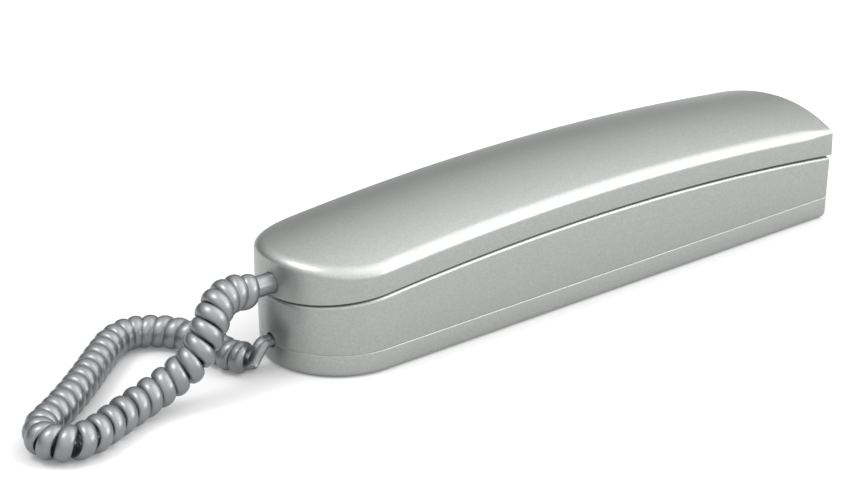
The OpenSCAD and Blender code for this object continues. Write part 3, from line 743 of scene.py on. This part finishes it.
class INTERCOM_OT_cord(bpy.types.Operator):
    """Makes the curly cord and the strain relief that it leaves the handset by"""
    bl_idname = "intercom.cord"
    bl_label = "Curly Cord"

    def execute(self, context):
        sleeve = self.strain_relief()
        s = sizes("intercom_cord")
        wire, spokes = self.helix(s)
        run = unit(np.gradient(wire, axis=0))
        out = unit(spokes - run * np.sum(spokes * run, axis=1, keepdims=True))
        across = np.cross(run, out)
        turn = np.linspace(0, 2 * math.pi, s.sides, endpoint=False)
        thick = s.wire_t / 2 * np.cos(turn)
        wide = s.wire_w / 2 * np.sin(turn)
        rings = [wire[i] + np.outer(thick, out[i]) + np.outer(wide, across[i]) for i in range(len(wire))]
        verts, faces = skin(rings)
        cord = new_piece("curly_cord_vinyl", verts, faces)
        dress(cord, cord_vinyl())
        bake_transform(cord)
        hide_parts("curly_cord")
        return {"FINISHED"}

    def helix(self, s):
        """Middle line of the wire, and the directions from the curls' middle to it."""
        line = cord_line()
        steps = np.linalg.norm(np.diff(line, axis=0), axis=1)
        inner = (s.curl_d_handset - s.wire_t) / 2
        places, stretch = zip(*CURL_STRETCH)
        pitch = s.pitch * np.interp(np.arange(len(steps)) / LEG_STEPS, places, stretch)
        close = (1 + s.crowding * inner * bends(line)[:-1]) / pitch
        turns = np.concatenate([[0], np.cumsum(steps * close)])
        lengths = np.concatenate([[0], np.cumsum(steps)])
        turn = np.linspace(0, turns[-1], round(turns[-1] * s.rings) + 1)
        middle = np.column_stack([np.interp(turn, turns, line[:, k]) for k in range(3)])
        run = unit(np.gradient(middle, axis=0))
        side = unit(np.cross(run, [0, 0, 1]))
        at = np.interp(turn, turns, lengths)
        whole = lengths[-1]
        curled = np.interp([s.lead_handset, whole - s.lead_base - s.open_base], lengths, turns)
        a = s.last_turn + (np.clip(turn, *curled)[:, None] - curled[1]) * 2 * math.pi
        spokes = side * np.cos(a) + np.cross(side, run) * np.sin(a)
        outer = s.curl_d_handset + (s.curl_d_base - s.curl_d_handset) * at / whole
        opened = ease((at - s.lead_handset) / s.open_handset)
        opened *= ease((whole - at - s.lead_base) / s.open_base)
        r = (outer - s.wire_t) / 2 * opened
        return middle + spokes * r[:, None], spokes

    def strain_relief(self):
        """Sleeve with a soft rim, a bore for the wire and a flange inside the wall."""
        s = sizes("intercom_handset")
        wall = sizes("intercom_body").wall
        tip = -sizes("intercom_body").body_l / 2 - s.sleeve_out
        r = s.sleeve_d / 2
        rim = s.sleeve_rim
        bore = sizes("intercom_cord").wire_w / 2 + s.bore_fit
        rounded = [(r - rim + rim * math.sin(a), rim - rim * math.cos(a)) for a in quarter(RIM_STEPS)]
        profile = [(bore, s.bore_depth), (bore, s.bore_lip), (bore + s.bore_lip, 0.0)] + rounded
        inside = s.sleeve_out + wall + s.flange_gap
        flange = r + s.flange_out
        profile += [(r, inside), (flange, inside), (flange, inside + s.flange_t)]
        z = arch_z(tip + s.sleeve_out) + s.sleeve_rise
        sleeve = lathe("strain_relief_sleeve", profile, along_length(tip, 0, z), steps=64)
        dress(sleeve, cord_vinyl())
        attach(sleeve, "handset")
        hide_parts("handset_strain_relief")
        return sleeve


# Share of the edge's run in which it turns into the ear end's
EDGE_TURN = 0.8


class INTERCOM_OT_handset(bpy.types.Operator):
    """Makes the handset's crowned upper shell with its screw posts"""
    bl_idname = "intercom.handset"
    bl_label = "Handset Shell"

    def execute(self, context):
        b, s = sizes("intercom_body"), sizes("intercom_handset")
        foot = b.split_gap / 2
        rings = [ring(core(t, b.wall), self.inner) for t in np.linspace(1, 0, CROWN_INNER_RINGS)]
        rings.append(ring(b.wall, lambda x, y: arch_z(x, foot)))
        for a in quarter(LIP_STEPS):
            rise = foot + s.lip_r * (1 - math.cos(a))
            rings.append(ring(s.lip_r * (1 - math.sin(a)), lambda x, y, rise=rise: arch_z(x, rise)))
        rings += [self.edge_ring(a) for a in quarter(EDGE_STEPS)]
        rings += [self.crown_ring(t) for t in np.linspace(0, 1, CROWN_RINGS)[1:]]
        verts, faces = skin(rings, capped=False)
        shell = new_piece("handset_crown_shell", verts, faces, CROWN_SHARP)
        carve(shell, self.posts(b, s), "UNION", CROWN_SHARP)
        carve(shell, self.holes(b, s), "DIFFERENCE", CROWN_SHARP)
        dress(shell, silver_paint())
        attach(shell, "handset")
        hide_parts("handset_top_shell")
        return {"FINISHED"}

    def post_places(self, s):
        """Places of the screw posts along the arch."""
        base = sizes("intercom_base")
        return base.mouth_x + s.post_from_boss, base.ear_x - s.post_from_boss

    def posts(self, b, s):
        """Posts that the inner shell is screwed to."""
        post = drum(s.post_d, b.split_gap / 2 + s.face_t, s.height - b.wall / 2)
        return [lathe("handset_post", post, arch_frame(x)) for x in self.post_places(s)]

    def holes(self, b, s):
        """Holes in the posts, and the strain relief's way out."""
        hole = drum(s.screw_hole_d, 0.0, s.height - b.wall)
        holes = [lathe("post_hole", hole, arch_frame(x)) for x in self.post_places(s)]
        end = -b.body_l / 2
        way_out = drum(s.sleeve_d + 2 * s.fit, -b.wall, 2 * b.wall)
        matrix = along_length(end, 0, arch_z(end) + s.sleeve_rise)
        holes.append(lathe("way_out", way_out, matrix, steps=64))
        return holes

    def crown(self, x, y):
        """Height of the crown's surface."""
        s = sizes("intercom_handset")
        rise = s.height - s.crown_r + np.sqrt(s.crown_r ** 2 - y ** 2)
        return arch_z(x, rise)

    def inner(self, x, y):
        """Height of the crown's inner surface."""
        return self.crown(x, y) - sizes("intercom_body").wall

    def end_share(self, p):
        """Share of the ear end's own edge at outline points: none along the sides, all on the end."""
        s = sizes("intercom_handset")
        end = sizes("intercom_body").body_l / 2
        return ease((p[:, 0] - end + s.end_edge_run) / (s.end_edge_run * EDGE_TURN))[:, None]

    def mixed(self, side_inset, end_inset):
        """Outline drawn in by one distance along the sides and by another at the ear end."""
        share = self.end_share(plan(0.0))
        return plan(side_inset) * (1 - share) + plan(end_inset) * share

    def edge_ring(self, a):
        """Ring of the softened upper edge, from the wall at angle 0 to the crown at a quarter turn."""
        s = sizes("intercom_handset")
        reach, left = 1 - math.cos(a), 1 - math.sin(a)
        p = self.mixed(s.edge_in * reach, s.end_edge_in * reach)
        share = self.end_share(plan(0.0))[:, 0]
        drop = s.edge_drop * (1 - share) + s.end_edge_drop * share
        return np.column_stack([p, self.crown(p[:, 0], p[:, 1]) - drop * left])

    def crown_ring(self, t):
        """Ring of the crown at a share of the way from its edge to the middle line."""
        s = sizes("intercom_handset")
        p = self.mixed(core(t, s.edge_in), core(t, s.end_edge_in))
        return np.column_stack([p, self.crown(p[:, 0], p[:, 1])])


class INTERCOM_OT_base(bpy.types.Operator):
    """Makes the base cover with its deck and cups"""
    bl_idname = "intercom.base"
    bl_label = "Base Cover"

    def execute(self, context):
        b, s = sizes("intercom_body"), sizes("intercom_base")
        gap = b.split_gap / 2
        under = np.linspace(1, 0, DECK_INNER_RINGS)
        rings = [self.deck_ring(core(t, b.wall), -gap - b.wall) for t in under]
        rings.append(level_ring(b.wall, s.seam_h))
        for a in quarter(LIP_STEPS):
            z = s.seam_h + s.seam_r * (1 - math.cos(a))
            rings.append(level_ring(s.seam_r * (1 - math.sin(a)), z))
        for a in quarter(RIM_STEPS):
            rings.append(self.deck_ring(s.lip_r * (1 - math.cos(a)), -gap - s.lip_r * (1 - math.sin(a))))
        rings += [self.deck_ring(core(t, s.lip_r), -gap) for t in np.linspace(0, 1, DECK_RINGS)[1:]]
        verts, faces = skin(rings, capped=False)
        cover = new_piece("base_cover_shell", verts, faces)
        carve(cover, self.pots(b, s), "UNION")
        carve(cover, self.rooms(b, s), "DIFFERENCE")
        dress(cover, silver_paint())
        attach(cover, "base")
        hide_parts("base_cover")
        return {"FINISHED"}

    def deck_ring(self, inset, above):
        """Ring drawn in from the leaning side, at a height above the split's arch."""
        p = plan(inset)
        z = arch_z(p[:, 0], above)
        p = plan(inset + base_inset(float(np.mean(z))))
        return np.column_stack([p, arch_z(p[:, 0], above)])

    def pots(self, b, s):
        """Pots, guide and post that hang below the deck."""
        sunk = -b.split_gap / 2 - b.wall / 2
        pots = []
        for name, x, d in (("ear_pot", s.ear_x, s.ear_cup_d), ("mouth_pot", s.mouth_x, s.mouth_cup_d)):
            foot = -b.split_gap / 2 - s.cup_depth - b.wall
            pots.append(lathe(name, drum(d + 2 * b.wall, foot, sunk), arch_frame(x)))
        guide = drum(s.guide_d, sunk - b.wall / 2 - s.guide_l, sunk)
        pots.append(lathe("guide", guide, arch_frame(s.hook_x)))
        post = drum(s.post_d, s.post_z, arch_z(s.screw_x, sunk))
        pots.append(lathe("post", post, Matrix.Translation((s.screw_x, 0, 0))))
        return pots

    def rooms(self, b, s):
        """Cups and holes in the deck, and the cord's way in."""
        gap = -b.split_gap / 2
        above = DECK_OVERRUN
        rooms = []
        for name, x, d in (("ear_cup", s.ear_x, s.ear_cup_d), ("mouth_cup", s.mouth_x, s.mouth_cup_d)):
            rooms.append(lathe(name, bored(d, gap - s.cup_depth, gap, s.cup_lip_r, above), arch_frame(x)))
        for name, x, d in (("hook_hole", s.hook_x, s.hook_d), ("button_hole", s.button_x, s.button_d)):
            low = gap - 4 * b.wall
            rooms.append(lathe(name, bored(d, low, gap, s.seam_r, above), arch_frame(x)))
        deck = arch_z(s.screw_x, gap)
        seat = drum(s.screw_hole_d, s.post_z - b.wall, deck - s.screw_seat)
        seat += bored(s.screw_head_d, deck - s.screw_seat, deck, s.seam_r, above)
        rooms.append(lathe("seat", seat, Matrix.Translation((s.screw_x, 0, 0))))
        rooms.append(cord_way_in(b, s))
        return rooms


def cord_way_in(b, s):
    """Room of the cord's gland through the end wall."""
    matrix = along_length(-b.body_l / 2, s.gland_y, s.gland_z)
    return lathe("way_in", drum(s.gland_d, -OVERRUN, s.gland_l), matrix, steps=48)


class INTERCOM_OT_back(bpy.types.Operator):
    """Makes the back plate with its rim, posts and holes"""
    bl_idname = "intercom.back"
    bl_label = "Back Plate"

    def execute(self, context):
        b, s = sizes("intercom_body"), sizes("intercom_base")
        step = -s.rim_proud
        rings = [level_ring(core(t, b.wall), s.floor_t) for t in np.linspace(1, 0, PLATE_RINGS)]
        rings.append(level_ring(b.wall, s.seam_h))
        for a in quarter(LIP_STEPS):
            z = s.seam_h - s.rim_r * (1 - math.cos(a))
            rings.append(level_ring(step + s.rim_r * (1 - math.sin(a)), z))
        for a in quarter(FOOT_STEPS):
            rings.append(level_ring(step + s.foot_r * (1 - math.cos(a)), s.foot_r * (1 - math.sin(a))))
        rings += [level_ring(core(t, step + s.foot_r), 0.0) for t in np.linspace(0, 1, PLATE_RINGS)[1:]]
        verts, faces = skin(rings, capped=False)
        plate = new_piece("back_plate_tray", verts, faces)
        carve(plate, self.posts(s), "UNION")
        carve(plate, self.holes(b, s), "DIFFERENCE")
        dress(plate, silver_paint())
        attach(plate, "base")
        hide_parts("back_plate")
        return {"FINISHED"}

    def posts(self, s):
        """Posts of the board screws and of the cover screw."""
        low = s.floor_t / 2
        posts = []
        lo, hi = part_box("board_screws")
        r = s.board_head_d / 2
        board_post = drum(s.board_post_d, low, s.board_z)
        for x in (lo[0] + r, hi[0] - r):
            for y in (lo[1] + r, hi[1] - r):
                posts.append(lathe("board_post", board_post, Matrix.Translation((x, y, 0))))
        cover_post = drum(s.post_d, low, s.post_z)
        posts.append(lathe("cover_post", cover_post, Matrix.Translation((s.screw_x, 0, 0))))
        return posts

    def holes(self, b, s):
        """Wall screw holes, cable entry and the cord's way in."""
        holes = []
        wall_hole = drum(s.wall_hole_d, -OVERRUN, 2 * s.floor_t)
        for x in (-s.wall_hole_x, s.wall_hole_x):
            holes.append(lathe("wall_hole", wall_hole, Matrix.Translation((x, 0, 0))))
        holes.append(self.entry(s))
        holes.append(cord_way_in(b, s))
        return holes

    def entry(self, s):
        """Slot with round ends for the wall cable."""
        turn = np.linspace(0, 2 * math.pi, 64, endpoint=False)
        x = s.entry_x + s.entry_w / 2 * np.cos(turn) + (s.entry_l - s.entry_w) / 2 * np.sign(np.cos(turn))
        y = s.entry_w / 2 * np.sin(turn)
        rings = [np.column_stack([x, y, np.full_like(x, z)]) for z in (-OVERRUN, 2 * s.floor_t)]
        verts, faces = skin(rings)
        return new_piece("entry", verts, faces)


# Finish of each solid that is shown as it is built
FINISHED_NODES = {
    silver_paint: ("handset_inner_shell",),
    cord_vinyl: ("base_cord_gland",),
    button_plastic: ("hook_plunger", "door_button"),
    black_plastic: ("board_components", "call_sounder", "hook_switch", "door_switch", "microphone_boot",
                    "earpiece"),
    board_laminate: ("circuit_board",),
    terminal_plastic: ("terminal_block",),
    bright_steel: ("terminal_screws", "board_screws", "cover_screw", "hook_spring", "door_spring",
                   "microphone_capsule", "handset_weight", "handset_screws"),
    black_foam: ("earpiece_gasket",),
}
# Solids shown as built whose edges can be seen, and the least degrees between the faces at a real edge
SOFT_EDGED = ("handset_inner_shell", "hook_plunger", "door_button")
REAL_EDGE = 50


class INTERCOM_OT_finishes(bpy.types.Operator):
    """Gives the solids that are shown as built their finishes and soft edges"""
    bl_idname = "intercom.finishes"
    bl_label = "Finishes"

    def execute(self, context):
        for finish, names in FINISHED_NODES.items():
            for name in names:
                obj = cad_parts[name]
                dress(obj, finish())
                if name in SOFT_EDGED:
                    self.soften(obj)
        return {"FINISHED"}

    def soften(self, obj):
        """Rounds the solid's real edges, and leaves the facets of its curves alone."""
        s = sizes("intercom_finish")
        soft = obj.modifiers.new("Soft edges", "BEVEL")
        soft.width = s.edge_r
        soft.segments = 2
        soft.limit_method = "ANGLE"
        soft.angle_limit = math.radians(REAL_EDGE)
        soft.harden_normals = True


class INTERCOM_PT_panel(bpy.types.Panel):
    """Lists the steps that build the station"""
    bl_idname = "INTERCOM_PT_panel"
    bl_label = "Intercom Station"
    bl_space_type = "VIEW_3D"
    bl_region_type = "UI"
    bl_category = "Intercom"

    def draw(self, context):
        for step in STEPS:
            self.layout.operator(step.bl_idname)
        for name in GROUPS:
            box = self.layout.box()
            group = getattr(context.scene, name)
            for key in group.bl_rna.properties.keys():
                if key not in ("rna_type", "name"):
                    box.prop(group, key)


GROUPS = {
    "intercom_body": BodySizes,
    "intercom_handset": HandsetSizes,
    "intercom_base": BaseSizes,
    "intercom_cord": CordSizes,
    "intercom_finish": Finishes,
    "intercom_stage": StageSizes,
}
STEPS = (INTERCOM_OT_stage, INTERCOM_OT_cord, INTERCOM_OT_handset, INTERCOM_OT_base, INTERCOM_OT_back,
         INTERCOM_OT_finishes)
CLASSES = (*GROUPS.values(), *STEPS, INTERCOM_PT_panel)


def register():
    """Registers the classes and keeps one of each group on the scene."""
    for item in CLASSES:
        bpy.utils.register_class(item)
    for name, group in GROUPS.items():
        setattr(bpy.types.Scene, name, bpy.props.PointerProperty(type=group))


def unregister():
    """Takes the groups off the scene and unregisters the classes."""
    for name in GROUPS:
        delattr(bpy.types.Scene, name)
    for item in reversed(CLASSES):
        bpy.utils.unregister_class(item)


def main():
    """Builds the station."""
    register()
    bpy.ops.intercom.stage()
    bpy.ops.intercom.cord()
    bpy.ops.intercom.handset()
    bpy.ops.intercom.base()
    bpy.ops.intercom.back()
    bpy.ops.intercom.finishes()


if __name__ == "__main__":
    main()
